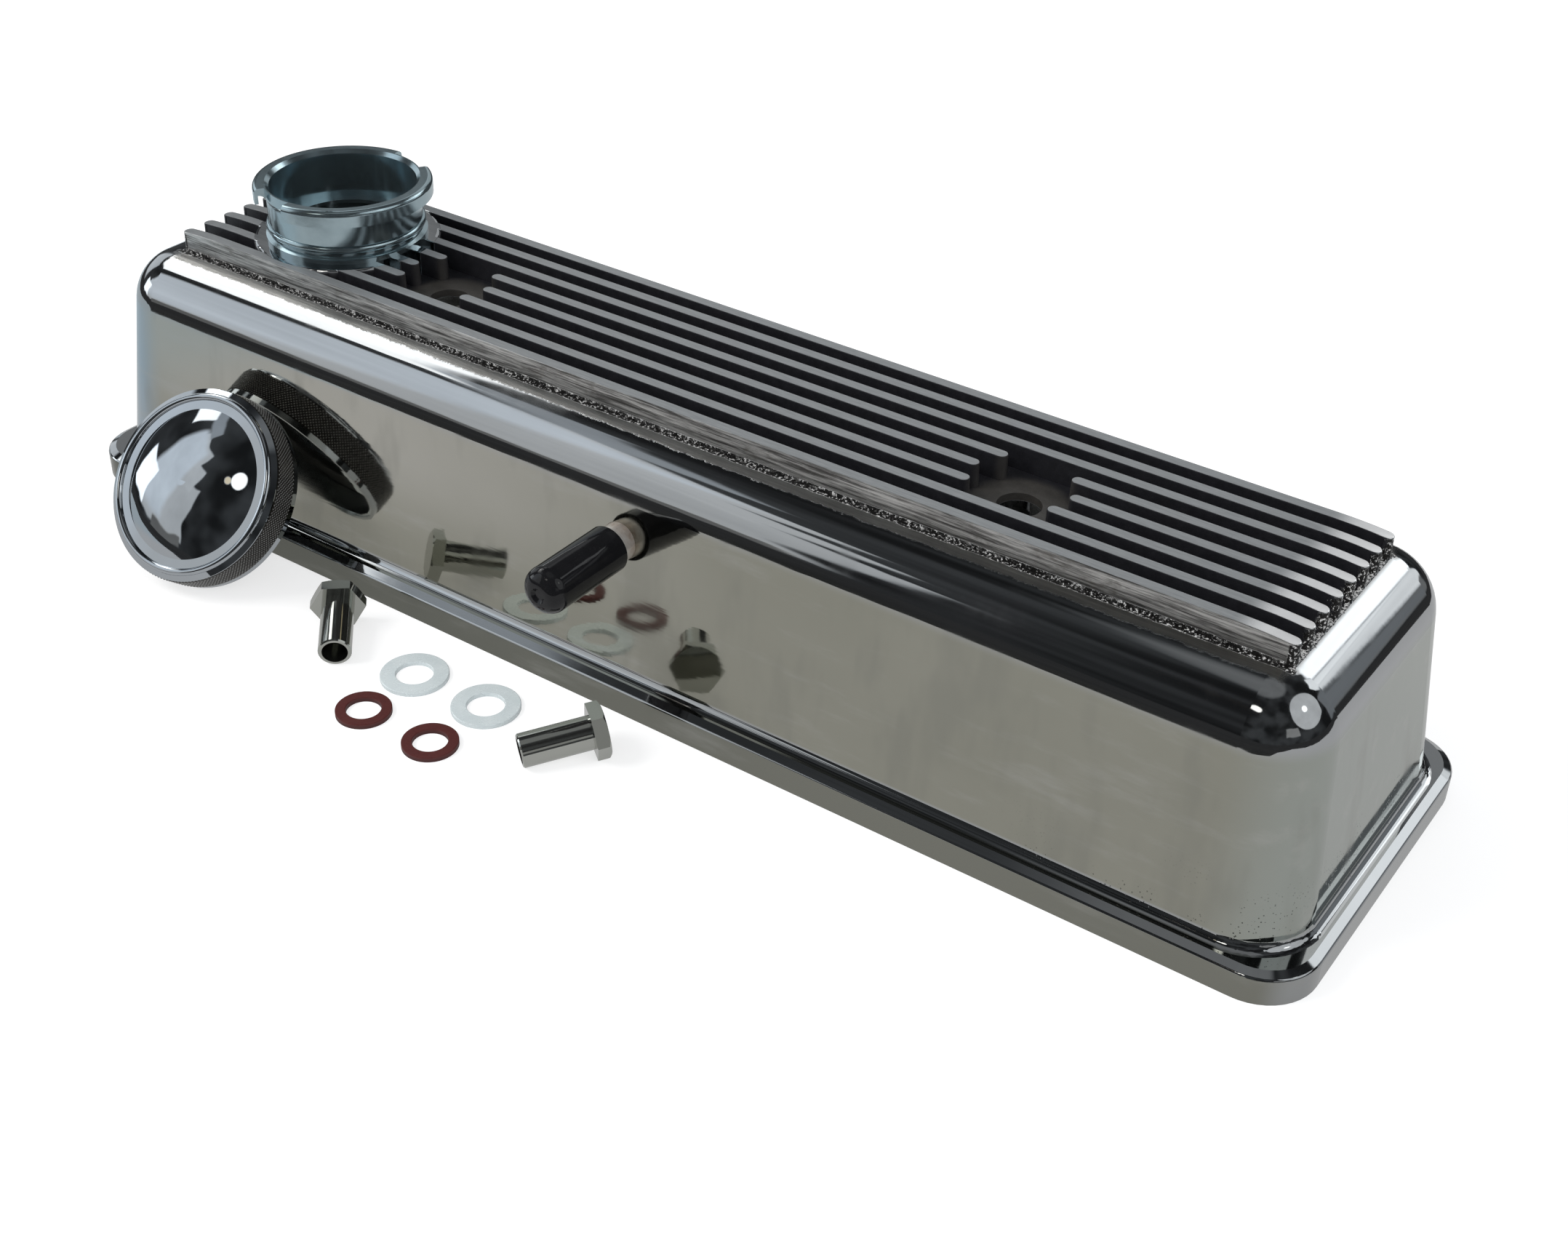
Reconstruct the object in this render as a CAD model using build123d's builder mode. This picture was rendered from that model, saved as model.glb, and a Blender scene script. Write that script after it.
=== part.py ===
from build123d import *
from math import atan, cos, radians, sin, sqrt, tan
import os

# Ribbed cast-aluminium valve cover for a four-cylinder engine, with its own kit of parts.
# Millimetres. The origin is the centre of the gasket face and +Z points away from the engine.
# The cover's length runs along X, and the side with the vent tube faces -Y.

# Gasket flange
flange_length = 450.0
flange_width = 124.0
flange_height = 8.3
flange_corner_radius = 16.6
flange_edge_radius = 0.9
crown_rise = 1.3
crown_run = 2.7

# Body of the casting
flange_ledge = 5.3
draft_angle = 5.8
deck_height = 80.7
wall_corner_radius = 19.0
shoulder_radius = 17.5
root_fillet_radius = 3.0
wall_thickness = 4.5
roof_thickness = 5.0

# Ribs on the deck
rib_count = 8
rib_pitch = 8.66
rib_width = 3.8
rib_height = 7.4
rib_left_end = -195.2
rib_right_end = 198.8
rib_draft = 1.5
rib_root_depth = 2.0
rib_edge_radius = 0.3
rib_tip_length = 16.0
rib_tip_drop = 0.9

# Stud holes, the round pads that clear the ribs beside them, and the bosses inside
stud_positions = {"left": -101.5, "right": 107.0}
stud_line_y = -5.6
stud_hole_radius = 6.35
pad_radius = 14.0
stud_boss_radius = 11.5
stud_boss_drop = 7.0

# Filler boss and the pressed-steel filler neck
neck_x = -151.0
boss_radius = 30.5
boss_draft = 1.5
boss_edge_radius = 1.2
spigot_radius = 22.8
spigot_clearance = 0.05
neck_sheet = 1.2
neck_radius = 24.9
neck_collar_radius = 26.2
neck_collar_height = 1.4
neck_collar_slope = 0.8
neck_bead_radius = 25.9
neck_bead_height = 4.4
neck_bead_half = 1.2
neck_seat_height = 3.0
neck_seat_radius = 19.5
neck_rim_radius = 28.9
neck_rim_height = 18.8
neck_rim_depth = 5.2
neck_rim_roll = 1.6
neck_notch_angle = -104.0
neck_notch_spread = 34.0
neck_notch_margin = 0.5

# Vent tube in the front wall, and the push-on cap that closes it
vent_x = 3.7
vent_height = 52.4
vent_tube_radius = 5.9
vent_tube_bore = 4.4
vent_tube_length = 31.0
vent_tube_inside = 4.0
vent_tube_chamfer = 0.5
vent_tube_clearance = 0.05
vent_cap_clearance = 0.08
vent_cap_wall = 1.2
vent_cap_start = 4.7
vent_cap_length = 31.2
vent_cap_end_thickness = 4.0
vent_cap_end_radius = 4.6
vent_cap_mouth_radius = 0.5
vent_cap_dimple_radius = 2.4
vent_cap_dimple_depth = 0.9
vent_cap_dimple_slope = 45.0

# Filler cap, which leans on the front wall with its mouth edge on the ground
cap_x = -146.6
cap_lean = 40.0
cap_heading = 5.0
cap_wall_gap = 0.25
cap_radius = 31.4
cap_height = 13.0
cap_sheet = 1.2
cap_skirt_height = 11.0
cap_skirt_slope = 0.9
cap_bead_radius = 29.7
cap_bead_width = 2.4
cap_ring_drop = 1.1
cap_dome_radius = 24.5
cap_dome_rise = 5.2
cap_vent_hole_radius = 1.0
cap_vent_hole_height = 5.5
cap_vent_hole_angle = 60.0

# Lock ring pressed into the filler cap, with two lugs for the neck's notches, and its seal
ring_gap = 0.05
ring_sheet = 1.0
ring_hole_radius = 15.0
ring_mouth_inset = 0.6
lug_radius = 26.0
lug_thickness = 1.2
lug_spread = 26.0
seal_gap = 0.1
seal_thickness = 2.0
seal_inner_radius = 19.0

# Sleeve nuts, laid on the ground in front of the cover
nut_flats = 15.0
nut_head = 4.2
nut_chamfer_angle = 60.0
nut_shank_radius = 5.1
nut_shank_length = 21.2
nut_bore_radius = 3.95
nut_bore_depth = 19.0
nut_end_chamfer = 0.4
nut_places = {"left": (-86.9, -79.3), "right": (16.5, -81.4)}
nut_headings = {"left": -48.2, "right": 232.8}

# Plain and fibre washers beside them
washer_radius = 10.5
washer_hole_radius = 5.7
washer_thickness = 1.3
washer_edge_radius = 0.25
washer_places = {"left": (-50.1, -84.6), "right": (-22.3, -83.6)}

fibre_radius = 8.4
fibre_hole_radius = 5.25
fibre_thickness = 1.6
fibre_edge_radius = 0.2
fibre_places = {"left": (-49.6, -106.8), "right": (-23.3, -106.5)}

# What counts as near in height, and as upright or crosswise, when edges are picked
height_band = 0.01
crest_band = 0.1
upright_share = 0.5
crosswise_share = 0.99

# Sizes that follow from the ones above
body_length = flange_length - 2 * flange_ledge
body_width = flange_width - 2 * flange_ledge
root_height = flange_height + crown_rise
draft_slope = tan(radians(draft_angle))
wall_run = wall_thickness / cos(radians(draft_angle))
roof_height = deck_height - roof_thickness
inner_corner_radius = wall_corner_radius - wall_thickness
inner_shoulder_radius = shoulder_radius - wall_thickness
rib_top = deck_height + rib_height
rib_foot = deck_height - rib_root_depth
rib_foot_width = rib_width + 2 * (rib_top - rib_foot) * tan(radians(rib_draft))
stud_points = [(x, stud_line_y) for x in stud_positions.values()]
seat_z = rib_top + neck_seat_height
neck_top = rib_top + neck_rim_height
lip_z = neck_top - neck_rim_depth
vent_cap_bore = vent_tube_radius + vent_cap_clearance
cap_ring_z = cap_height - cap_ring_drop
cap_bore_radius = cap_radius - cap_sheet
ring_radius = cap_bore_radius - ring_gap
ring_top = cap_ring_z - cap_sheet - ring_gap
seal_top = ring_top - ring_sheet


def wall_y(height):
    """Outer face of the front wall at a height above the gasket face."""
    return height * draft_slope - body_width / 2


def write(part, name):
    part.label = name
    export_step(part, f"parts/{name}.step")


def edges_at(builder, height):
    return builder.edges().filter_by_position(Axis.Z, height - height_band, height + height_band)


def borders_rib_top(edge):
    """True for the long and round edges of a rib's top, and not for the seams across it."""
    lowest = rib_top - rib_tip_drop - crest_band
    return edge.bounding_box().min.Z > lowest and abs((edge % 0.5).Y) < crosswise_share


def is_upright(edge):
    """True for an edge that climbs from the flange towards the deck."""
    return abs((edge % 0.5).Z) > upright_share


def starts_on_body(edge):
    """True for an edge of the body, and not for one along the rim of the flange."""
    start = edge @ 0
    return abs(start.X) < body_length / 2 and abs(start.Y) < body_width / 2


def rib_pieces(y):
    """The stretches of a rib along X that the round pads leave, as (start, end) pairs."""
    ends = [rib_left_end]
    for stud_x in sorted(stud_positions.values()):
        reach = pad_radius ** 2 - (y - stud_line_y) ** 2
        if reach > rib_width ** 2:
            ends += [stud_x - sqrt(reach), stud_x + sqrt(reach)]
    ends.append(rib_right_end)
    return zip(ends[0::2], ends[1::2])


def sector(inner, outer, middle, spread):
    """A piece of a flat ring about the origin, spread degrees wide about its middle."""
    with BuildSketch() as shape:
        with BuildLine():
            inside = CenterArc((0, 0), inner, middle - spread / 2, spread)
            outside = CenterArc((0, 0), outer, middle - spread / 2, spread)
            Line(inside @ 0, outside @ 0)
            Line(inside @ 1, outside @ 1)
        make_face()
    return shape.sketch


# The vent tube runs level out of the drafted front wall
vent_axis = Vector(0, -1, 0)
vent_plane = Plane((vent_x, wall_y(vent_height), vent_height), x_dir=(1, 0, 0), z_dir=vent_axis)

# The rim of the filler cap's mouth touches the ground below and the front wall above
cap_side = Vector(cos(radians(cap_heading)), sin(radians(cap_heading)), 0)
cap_up = Vector(0, 0, sin(radians(cap_lean)))
cap_axis = Vector(0, 0, -cos(radians(cap_lean))).cross(cap_side) + cap_up
into_wall = Vector(0, cos(radians(draft_angle)), -sin(radians(draft_angle)))
cap_reach = cap_radius * sqrt(1 - cap_axis.dot(into_wall) ** 2)
cap_centre_height = cap_radius * cos(radians(cap_lean))
cap_centre_y = wall_y(cap_centre_height) - (cap_reach + cap_wall_gap) / into_wall.Y
cap_origin = Vector(cap_x, cap_centre_y, cap_centre_height)
cap_frame = Plane(cap_origin, x_dir=cap_side, z_dir=cap_axis)
cap_section = Plane(cap_origin, x_dir=cap_side, z_dir=cap_side.cross(cap_axis))
cap_turn = Axis(cap_origin, cap_axis)

os.makedirs("parts", exist_ok=True)

# Hollow inside of the casting, cut from it below
with BuildPart() as interior:
    with BuildSketch():
        Rectangle(body_length - 2 * wall_run, body_width - 2 * wall_run)
    extrude(amount=roof_height, taper=draft_angle)
    fillet(interior.edges().filter_by(is_upright), inner_corner_radius)
    fillet(edges_at(interior, roof_height), inner_shoulder_radius)

# Outside of the casting above the flange
with BuildPart() as body:
    with BuildSketch():
        Rectangle(body_length, body_width)
    extrude(amount=deck_height, taper=draft_angle)
    fillet(body.edges().filter_by(is_upright), wall_corner_radius)
    fillet(edges_at(body, deck_height), shoulder_radius)

# Ribs, cut away round the studs, with tops that fall towards both ends
with BuildPart() as ribs:
    with BuildSketch(Plane.XY.offset(rib_foot)):
        for row in range(rib_count):
            y = (row - (rib_count - 1) / 2) * rib_pitch
            for start, end in rib_pieces(y):
                with Locations(((start + end) / 2, y)):
                    SlotOverall(end - start, rib_foot_width)
    extrude(amount=rib_top - rib_foot, taper=rib_draft)
    with BuildSketch(Plane.XZ):
        with BuildLine():
            left_tip = (rib_left_end, rib_top - rib_tip_drop)
            left_crest = (rib_left_end + rib_tip_length, rib_top)
            right_tip = (rib_right_end, rib_top - rib_tip_drop)
            right_crest = (rib_right_end - rib_tip_length, rib_top)
            TangentArc(left_crest, left_tip, tangent=(-1, 0))
            Line(left_crest, right_crest)
            TangentArc(right_crest, right_tip, tangent=(1, 0))
            Polyline(right_tip, (rib_right_end, rib_foot), (rib_left_end, rib_foot), left_tip)
        make_face()
    extrude(amount=body_width, both=True, mode=Mode.INTERSECT)
    fillet(ribs.edges().filter_by(borders_rib_top), rib_edge_radius)

# Filler boss, level with the tops of the ribs, with a rolled edge that they run into
with BuildPart() as filler_boss:
    with BuildSketch(Plane.XY.offset(rib_foot)):
        with Locations((neck_x, 0)):
            Circle(boss_radius)
    extrude(amount=rib_top - rib_foot, taper=boss_draft)
    fillet(edges_at(filler_boss, rib_top), boss_edge_radius)

# The casting: flange, body, ribs, filler boss and stud bosses in one piece
with BuildPart() as cover_casting:
    with BuildSketch():
        RectangleRounded(flange_length, flange_width, flange_corner_radius)
    extrude(amount=root_height)
    crown = cover_casting.faces().sort_by(Axis.Z)[-1]
    chamfer(crown.edges(), length=crown_run, length2=crown_rise, reference=crown)
    fillet(edges_at(cover_casting, flange_height), flange_edge_radius)
    add(body.part)
    fillet(edges_at(cover_casting, root_height).filter_by(starts_on_body), root_fillet_radius)
    add(interior.part, mode=Mode.SUBTRACT)
    add(ribs.part)
    add(filler_boss.part)
    # Bosses under the roof that take the pull of the nuts
    with BuildSketch(Plane.XY.offset(roof_height - stud_boss_drop)):
        with Locations(*stud_points):
            Circle(stud_boss_radius)
    extrude(amount=stud_boss_drop + roof_thickness / 2)
    with Locations(*[(x, y, deck_height) for x, y in stud_points]):
        Hole(stud_hole_radius)
    with Locations((neck_x, 0, rib_top)):
        Hole(spigot_radius + spigot_clearance)
    with BuildSketch(vent_plane):
        Circle(vent_tube_radius + vent_tube_clearance)
    extrude(amount=2 * wall_thickness, both=True, mode=Mode.SUBTRACT)
write(cover_casting.part, "cover_casting")

# Filler neck: a pressed tube with a spigot, collar, bead, turned-down rim and inner seat
with BuildPart() as filler_neck:
    with BuildSketch(Plane((neck_x, 0, 0), x_dir=(1, 0, 0), z_dir=(0, -1, 0))):
        with BuildLine():
            bead_foot = (neck_radius, rib_top + neck_bead_height - neck_bead_half)
            bead_side = (neck_bead_radius, rib_top + neck_bead_height)
            bead_head = (neck_radius, rib_top + neck_bead_height + neck_bead_half)
            flare_foot = (neck_radius, lip_z)
            flare_head = (neck_rim_radius - neck_sheet, neck_top - 2 * neck_sheet)
            rim_side = (neck_rim_radius, neck_top - neck_rim_roll)
            rim_crest = (neck_rim_radius - neck_rim_roll, neck_top)
            Polyline(
                (spigot_radius, rib_top),
                (neck_collar_radius, rib_top),
                (neck_collar_radius, rib_top + neck_collar_height),
                (neck_radius, rib_top + neck_collar_height + neck_collar_slope),
                bead_foot,
            )
            ThreePointArc(bead_foot, bead_side, bead_head)
            Line(bead_head, flare_foot)
            TangentArc(flare_foot, flare_head, tangent=(0, 1))
            Polyline(
                flare_head,
                (neck_rim_radius - neck_sheet, lip_z),
                (neck_rim_radius, lip_z),
                rim_side,
            )
            TangentArc(rim_side, rim_crest, tangent=(0, 1))
            Polyline(
                rim_crest,
                (neck_radius, neck_top),
                (neck_radius - neck_sheet, neck_top - neck_sheet),
                (neck_radius - neck_sheet, seat_z),
                (neck_seat_radius, seat_z),
                (neck_seat_radius, seat_z - neck_sheet),
                (spigot_radius - neck_sheet, seat_z - neck_sheet),
                (spigot_radius - neck_sheet, roof_height),
                (spigot_radius, roof_height),
                (spigot_radius, rib_top),
            )
        make_face()
    revolve(axis=Axis((neck_x, 0, 0), (0, 0, 1)))
    # Two notches in the rim let the lugs of the filler cap through
    for middle in (neck_notch_angle, neck_notch_angle + 180):
        with BuildSketch(Plane((neck_x, 0, lip_z - neck_sheet))):
            add(
                sector(
                    neck_radius + neck_notch_margin,
                    neck_rim_radius + neck_sheet,
                    middle,
                    neck_notch_spread,
                )
            )
        extrude(amount=neck_rim_depth + 2 * neck_sheet, mode=Mode.SUBTRACT)
write(filler_neck.part, "filler_neck")

# Vent tube, pressed through the front wall
with BuildPart() as vent_tube:
    with BuildSketch(vent_plane.offset(-wall_thickness - vent_tube_inside)):
        Circle(vent_tube_radius)
        Circle(vent_tube_bore, mode=Mode.SUBTRACT)
    extrude(amount=wall_thickness + vent_tube_inside + vent_tube_length)
    tip = vent_tube.faces().sort_by(Axis.Y)[0]
    chamfer(tip.outer_wire().edges(), vent_tube_chamfer)
write(vent_tube.part, "vent_tube")

# Soft push-on cap with a round closed end and a dimple in its middle
with BuildPart() as vent_tube_cap:
    with BuildSketch(vent_plane.offset(vent_cap_start)):
        Circle(vent_cap_bore + vent_cap_wall)
    extrude(amount=vent_cap_length)
    fillet(vent_tube_cap.faces().sort_by(Axis.Y)[0].edges(), vent_cap_end_radius)
    fillet(vent_tube_cap.faces().sort_by(Axis.Y)[-1].edges(), vent_cap_mouth_radius)
    with BuildSketch(vent_plane.offset(vent_cap_start)):
        Circle(vent_cap_bore)
    extrude(amount=vent_cap_length - vent_cap_end_thickness, mode=Mode.SUBTRACT)
    with BuildSketch(vent_plane.offset(vent_cap_start + vent_cap_length)):
        Circle(vent_cap_dimple_radius)
    extrude(amount=-vent_cap_dimple_depth, taper=vent_cap_dimple_slope, mode=Mode.SUBTRACT)
write(vent_tube_cap.part, "vent_tube_cap")

# Filler cap shell: skirt, raised bead, flat ring and shallow dome in one pressing
with BuildPart() as cap_shell:
    with BuildSketch(cap_section):
        with BuildLine():
            bead_outside = (cap_bead_radius, cap_height - cap_bead_width / 2)
            bead_crest = (cap_bead_radius - cap_bead_width / 2, cap_height)
            bead_inside = (cap_bead_radius - cap_bead_width, cap_ring_z)
            dome_edge = (cap_dome_radius, cap_ring_z)
            dome_top = (0, cap_ring_z + cap_dome_rise)
            inner_top = (0, cap_ring_z + cap_dome_rise - cap_sheet)
            inner_edge = (cap_dome_radius, cap_ring_z - cap_sheet)
            Polyline(
                (cap_bore_radius, 0),
                (cap_radius, 0),
                (cap_radius, cap_skirt_height),
                (cap_bead_radius, cap_skirt_height + cap_skirt_slope),
                bead_outside,
            )
            ThreePointArc(bead_outside, bead_crest, bead_inside)
            Line(bead_inside, dome_edge)
            TangentArc(dome_top, dome_edge, tangent=(1, 0))
            Line(dome_top, inner_top)
            TangentArc(inner_top, inner_edge, tangent=(1, 0))
            Polyline(
                inner_edge,
                (cap_bore_radius - cap_sheet, cap_ring_z - cap_sheet),
                (cap_bore_radius, cap_ring_z - 2 * cap_sheet),
                (cap_bore_radius, 0),
            )
        make_face()
    revolve(axis=cap_turn)
    hole_turn = radians(cap_vent_hole_angle)
    hole_way = cap_frame.x_dir * cos(hole_turn) + cap_frame.y_dir * sin(hole_turn)
    with BuildSketch(Plane(cap_frame.offset(cap_vent_hole_height).origin, z_dir=hole_way)):
        Circle(cap_vent_hole_radius)
    extrude(amount=cap_radius + cap_sheet, mode=Mode.SUBTRACT)
write(cap_shell.part, "cap_shell")

# Lock ring: a pressed cup inside the skirt, with a web above and two lugs at the mouth
with BuildPart() as cap_lock_ring:
    with BuildSketch(cap_section):
        with BuildLine():
            Polyline(
                (ring_radius, ring_mouth_inset),
                (ring_radius, ring_top - cap_sheet),
                (ring_radius - cap_sheet, ring_top),
                (ring_hole_radius, ring_top),
                (ring_hole_radius, seal_top),
                (ring_radius - cap_sheet - ring_sheet / 2, seal_top),
                (ring_radius - ring_sheet, ring_top - cap_sheet - ring_sheet / 2),
                (ring_radius - ring_sheet, ring_mouth_inset),
                close=True,
            )
        make_face()
    revolve(axis=cap_turn)
    for middle in (0, 180):
        with BuildSketch(cap_frame.offset(ring_mouth_inset)):
            add(sector(lug_radius, ring_radius - ring_sheet / 2, middle, lug_spread))
        extrude(amount=lug_thickness)
write(cap_lock_ring.part, "cap_lock_ring")

# Flat seal under the web of the lock ring, which meets the top of the neck
with BuildPart() as cap_seal:
    with BuildSketch(cap_frame.offset(seal_top - seal_thickness)):
        Circle(ring_radius - cap_sheet - ring_sheet - seal_gap)
        Circle(seal_inner_radius, mode=Mode.SUBTRACT)
    extrude(amount=seal_thickness)
write(cap_seal.part, "cap_seal")

# Sleeve nuts, each resting on a flat of its head and on the end of its shank
nut_tilt = atan((nut_flats / 2 - nut_shank_radius) / nut_shank_length)
nut_seat_height = nut_flats / 2 * cos(nut_tilt)
for side, (x, y) in nut_places.items():
    heading = radians(nut_headings[side])
    along = Vector(cos(heading) * cos(nut_tilt), sin(heading) * cos(nut_tilt), -sin(nut_tilt))
    across = Vector(-sin(heading), cos(heading), 0)
    seat = Plane((x, y, nut_seat_height), x_dir=across, z_dir=along)
    with BuildPart() as sleeve_nut:
        with BuildSketch(seat):
            RegularPolygon(nut_flats / 2, 6, major_radius=False)
        extrude(amount=-nut_head)
        # Round chamfer on the outer end of the head
        with BuildSketch(seat.offset(-nut_head)):
            Circle(nut_flats / 2)
        extrude(amount=nut_head, taper=-nut_chamfer_angle, mode=Mode.INTERSECT)
        with BuildSketch(seat):
            Circle(nut_shank_radius)
        extrude(amount=nut_shank_length)
        end = sleeve_nut.faces().sort_by(Axis(seat.origin, along))[-1]
        chamfer(end.edges(), nut_end_chamfer)
        with BuildSketch(seat.offset(nut_shank_length)):
            Circle(nut_bore_radius)
        extrude(amount=-nut_bore_depth, mode=Mode.SUBTRACT)
    write(sleeve_nut.part, f"sleeve_nut_{side}")

# Plain washers, flat on the ground
for side, place in washer_places.items():
    with BuildPart() as plain_washer:
        with BuildSketch():
            with Locations(place):
                Circle(washer_radius)
                Circle(washer_hole_radius, mode=Mode.SUBTRACT)
        extrude(amount=washer_thickness)
        fillet(edges_at(plain_washer, washer_thickness), washer_edge_radius)
    write(plain_washer.part, f"plain_washer_{side}")

# Fibre sealing washers, flat on the ground
for side, place in fibre_places.items():
    with BuildPart() as fibre_washer:
        with BuildSketch():
            with Locations(place):
                Circle(fibre_radius)
                Circle(fibre_hole_radius, mode=Mode.SUBTRACT)
        extrude(amount=fibre_thickness)
        fillet(edges_at(fibre_washer, fibre_thickness), fibre_edge_radius)
    write(fibre_washer.part, f"fibre_washer_{side}")
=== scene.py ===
from math import cos, pi, radians, sin, tau

import bpy
from mathutils import Matrix, Vector


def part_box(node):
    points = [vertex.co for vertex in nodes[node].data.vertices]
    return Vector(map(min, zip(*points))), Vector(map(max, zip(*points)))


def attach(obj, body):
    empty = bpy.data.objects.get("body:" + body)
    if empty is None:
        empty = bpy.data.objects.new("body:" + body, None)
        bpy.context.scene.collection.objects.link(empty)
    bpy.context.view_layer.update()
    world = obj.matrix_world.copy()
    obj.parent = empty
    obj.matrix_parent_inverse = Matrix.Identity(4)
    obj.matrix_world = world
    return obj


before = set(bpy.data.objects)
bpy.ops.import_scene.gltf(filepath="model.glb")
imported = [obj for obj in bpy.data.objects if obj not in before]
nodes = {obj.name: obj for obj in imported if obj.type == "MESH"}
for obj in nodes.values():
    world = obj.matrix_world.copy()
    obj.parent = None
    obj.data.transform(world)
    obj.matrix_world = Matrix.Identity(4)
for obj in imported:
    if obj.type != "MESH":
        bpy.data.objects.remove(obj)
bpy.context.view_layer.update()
MM = 0.001

# Camera, solved from the photograph. Its frame is 36 mm wide.
CAMERA_PLACE = Vector((0.32274, -0.43865, 0.36875))
CAMERA_RIGHT = Vector((0.8189, 0.5733, 0.0261))
CAMERA_FORWARD = Vector((-0.4598, 0.6827, -0.5678))
CAMERA_LENS = 47.098

# Sizes of the cover in millimetres, for the zones of its finish
CASTING = "cover_casting"
DECK = 80.7
RIB_TOP = 88.1
RIB_OUTER_CENTRE = 30.31
RIB_LEFT, RIB_RIGHT = -195.2, 198.8
RIB_TIP_RUN = 16.0
RIB_TIP_DROP = 0.9
PAD_RADIUS = 14.0
STUDS = ((-101.5, -5.6), (107.0, -5.6))
NECK_X = -151.0
BOSS_RADIUS = 30.5
FLANGE_SIDE_TOP = 7.9
ROUGH_STRIP_EDGE = 37.7
CAVITY_END, CAVITY_SIDE = 208.0, 46.0

# Filler cap in millimetres, as it leans on the wall
CAP_LEAN, CAP_HEADING = 40.0, 5.0
CAP_RADIUS = 31.4
KNURL_LOW, KNURL_HIGH = 2.0, 10.6
KNURL_HEIGHT = 0.3
KNURL_LIFT = 0.02
KNURL_AROUND = 160
KNURL_ROWS = 7

# Brightness of what polished metal mirrors, against a white of 1
STUDIO_LEVEL = 0.59
MIRRORED_FLOOR = 0.47
BACKGROUND_GLOW = (0.03, 0.13)
BACKGROUND_WARMTH = 0.2

# Strength of the soft white light from all round, and of the floor as the camera sees it
SOFT_LIGHT = 0.62
SEEN_FLOOR = 0.66

# White sheet under the object in metres; round it lies dark ground, for reflections alone
SHEET_LEFT, SHEET_RIGHT = -0.62, 0.62
SHEET_FRONT, SHEET_BACK = -0.272, 0.36
GROUND_REACH = 5
GROUND_LIFT = 0.0006
FLOOR_REACH = 6.0

# Fields of the studio dome: start, end, low, high and soft edge in degrees, strength, and
# warmth from 0 for bluish through 0.5 for white to 1 for golden
DOME_PATCHES = (
    (27, 66, 3, 31, 1.5, 1.20, 0.3),
    (33, 66, 29, 41, 1.5, 1.30, 0.3),
    (41, 64, 39, 49.5, 1.5, 1.35, 0.3),
    (47, 66, 8, 46, 5.0, 1.75, 0.1),
    (28, 50, 0.5, 4, 1.5, 0.35, 0.5),
    (60, 88, 50.5, 56, 2.0, 0.85, 0.1),
    (79, 117, 37, 49.8, 1.5, 3.8, 0.4),
    (95, 108, 39, 42, 2.0, 12.0, 0.5),
    (62, 77, 3, 17, 1.2, 4.0, 0.2),
    (90, 112, 5, 28, 4.0, 1.5, 0.2),
    (118, 134, 24, 38, 3.0, 0.52, 0.3),
    (125, 134, 34, 42, 2.5, 1.7, 0.3),
    (150, 178, 31, 36, 2.0, 0.55, 0.3),
    (176, 190, 29, 46, 3.0, 1.8, 0.4),
    (188, 201, 25, 38, 2.5, 4.0, 0.3),
    (200, 212, 12, 26, 3.0, 2.2, 0.3),
    (204, 218, 28, 41, 2.0, 2.6, 0.3),
    (206, 222, 2, 11, 3.0, 0.40, 0.3),
    (138, 166, 8, 40, 3.0, 0.9, 0.3),
    (216, 231, 4, 28, 3.0, 0.45, 0.15),
    (290, 308, 12, 22, 2.0, 0.6, 0.4),
    (0, 360, 76, 90, 6.0, 0.40, 0.3),
)

# Round lamps of the studio: compass angle, height and radius in degrees, strength, warmth
# Their soft edge is LAMP_EDGE wide
LAMP_EDGE = 1.0
DOME_LAMPS = (
    (2, 50, 4.5, 4.0, 0.65),
    (12, 47, 1.6, 2.0, 1.0),
    (264, 37, 24.0, 1.3, 0.3),
    (264, 41, 3.5, 4.5, 0.4),
)


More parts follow.
